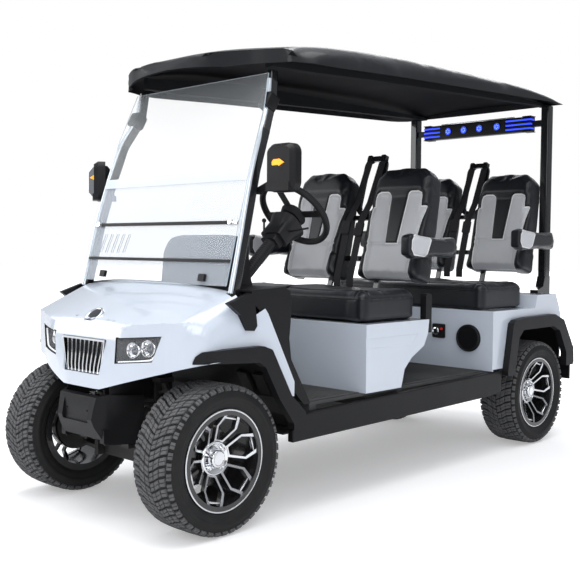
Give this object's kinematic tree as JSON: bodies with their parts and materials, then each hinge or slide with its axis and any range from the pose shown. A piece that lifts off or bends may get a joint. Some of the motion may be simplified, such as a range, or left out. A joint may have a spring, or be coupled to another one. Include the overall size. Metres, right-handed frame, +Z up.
{
  "type": "golf cart",
  "caption": "Roofed golf cart with forward-facing benches, folding clear windshield, flip-up armrests, alloy wheels and a rear light bar.",
  "frame": {"origin": "on the ground, midway between the front and rear bumpers, on the centre plane", "axes": "-Y is forward, +X is the driver's (left) side, +Z is up"},
  "size_m": [1.3809, 3.2, 2.0529],
  "materials": {
    "body_white": "gloss",
    "dark_plastic": "textured",
    "frame_steel": "satin",
    "black_steel": "satin",
    "roof_black": "gloss",
    "tyre": "matte",
    "rim": "machined face on gloss black",
    "chrome": "polished",
    "lamp_glass": "clear lens",
    "red_lens": "gloss",
    "acrylic": "clear",
    "seat_vinyl": "satin",
    "floor_mat": "textured",
    "webbing": "matte"
  },
  "bodies": {
    "chassis": {"battery_pack": "dark_plastic", "bumpers": "dark_plastic", "chassis_frame": "frame_steel", "dashboard": "dark_plastic", "floor": "floor_mat", "front_cowl": "body_white", "front_posts": "black_steel", "front_seat_box": "body_white", "front_suspension": "frame_steel", "grille": "chrome", "headlamps": "lamp_glass", "light_bar": "dark_plastic", "mirrors": "dark_plastic", "pedals": "black_steel", "rear_axle": "frame_steel", "rear_body": "body_white", "rear_posts": "black_steel", "rear_springs": "frame_steel", "rockers": "dark_plastic", "roof": "roof_black", "seat_backs": "seat_vinyl", "seat_belts": "webbing", "seat_frames": "black_steel", "side_trim": "dark_plastic", "steering_column": "black_steel", "tail_lights": "red_lens", "windshield": "acrylic", "windshield_clamps": "dark_plastic"},
    "left_knuckle": {"left_knuckle": "frame_steel"},
    "right_knuckle": {"right_knuckle": "frame_steel"},
    "front_left_wheel": {"front_left_tyre": "tyre", "front_left_rim": "rim"},
    "front_right_wheel": {"front_right_tyre": "tyre", "front_right_rim": "rim"},
    "rear_left_wheel": {"rear_left_tyre": "tyre", "rear_left_rim": "rim"},
    "rear_right_wheel": {"rear_right_tyre": "tyre", "rear_right_rim": "rim"},
    "steering_wheel": {"steering_wheel": "dark_plastic"},
    "front_seat_lid": {"front_cushion": "seat_vinyl"},
    "rear_seat_lid": {"rear_cushion": "seat_vinyl"},
    "front_armrest_left": {"front_armrest_left": "seat_vinyl"},
    "front_armrest_right": {"front_armrest_right": "seat_vinyl"},
    "rear_armrest_left": {"rear_armrest_left": "seat_vinyl"},
    "rear_armrest_right": {"rear_armrest_right": "seat_vinyl"}
  },
  "joints": [
    {"name": "steer_left", "type": "hinge", "parent": "chassis", "child": "left_knuckle", "pos_m": [0.36, -1.3, 0.292], "axis": [0, 0, 1], "range_deg": [-28, 28]},
    {"name": "steer_right", "type": "hinge", "parent": "chassis", "child": "right_knuckle", "pos_m": [-0.36, -1.3, 0.292], "axis": [0, 0, 1], "range_deg": [-28, 28]},
    {"name": "steering_wheel_turn", "type": "hinge", "parent": "chassis", "child": "steering_wheel", "pos_m": [0.285, -0.63, 1.26], "axis": [0, 0.7431, 0.6691], "range_deg": [-400, 400]},
    {"name": "front_left_spin", "type": "hinge", "parent": "left_knuckle", "child": "front_left_wheel", "pos_m": [0.47, -1.3, 0.292], "axis": [1, 0, 0], "continuous": true},
    {"name": "front_right_spin", "type": "hinge", "parent": "right_knuckle", "child": "front_right_wheel", "pos_m": [-0.47, -1.3, 0.292], "axis": [1, 0, 0], "continuous": true},
    {"name": "rear_left_spin", "type": "hinge", "parent": "chassis", "child": "rear_left_wheel", "pos_m": [0.482, 1.1, 0.292], "axis": [1, 0, 0], "continuous": true},
    {"name": "rear_right_spin", "type": "hinge", "parent": "chassis", "child": "rear_right_wheel", "pos_m": [-0.482, 1.1, 0.292], "axis": [1, 0, 0], "continuous": true},
    {"name": "front_seat_lift", "type": "hinge", "parent": "chassis", "child": "front_seat_lid", "pos_m": [0, -0.45, 0.7654], "axis": [1, 0, 0], "range_deg": [0, 50]},
    {"name": "rear_seat_lift", "type": "hinge", "parent": "chassis", "child": "rear_seat_lid", "pos_m": [0, 0.572, 0.7774], "axis": [1, 0, 0], "range_deg": [0, 50]},
    {"name": "front_armrest_left_lift", "type": "hinge", "parent": "chassis", "child": "front_armrest_left", "pos_m": [0.538, 0.236, 1.085], "axis": [-1, 0, 0], "range_deg": [0, 85]},
    {"name": "front_armrest_right_lift", "type": "hinge", "parent": "chassis", "child": "front_armrest_right", "pos_m": [-0.538, 0.236, 1.085], "axis": [-1, 0, 0], "range_deg": [0, 85]},
    {"name": "rear_armrest_left_lift", "type": "hinge", "parent": "chassis", "child": "rear_armrest_left", "pos_m": [0.538, 1.255, 1.13], "axis": [-1, 0, 0], "range_deg": [0, 85]},
    {"name": "rear_armrest_right_lift", "type": "hinge", "parent": "chassis", "child": "rear_armrest_right", "pos_m": [-0.538, 1.255, 1.13], "axis": [-1, 0, 0], "range_deg": [0, 85]}
  ],
  "couplings": [
    {"joint": "steer_right", "follows": "steer_left", "ratio": 1},
    {"joint": "steering_wheel_turn", "follows": "steer_left", "ratio": 14}
  ]
}
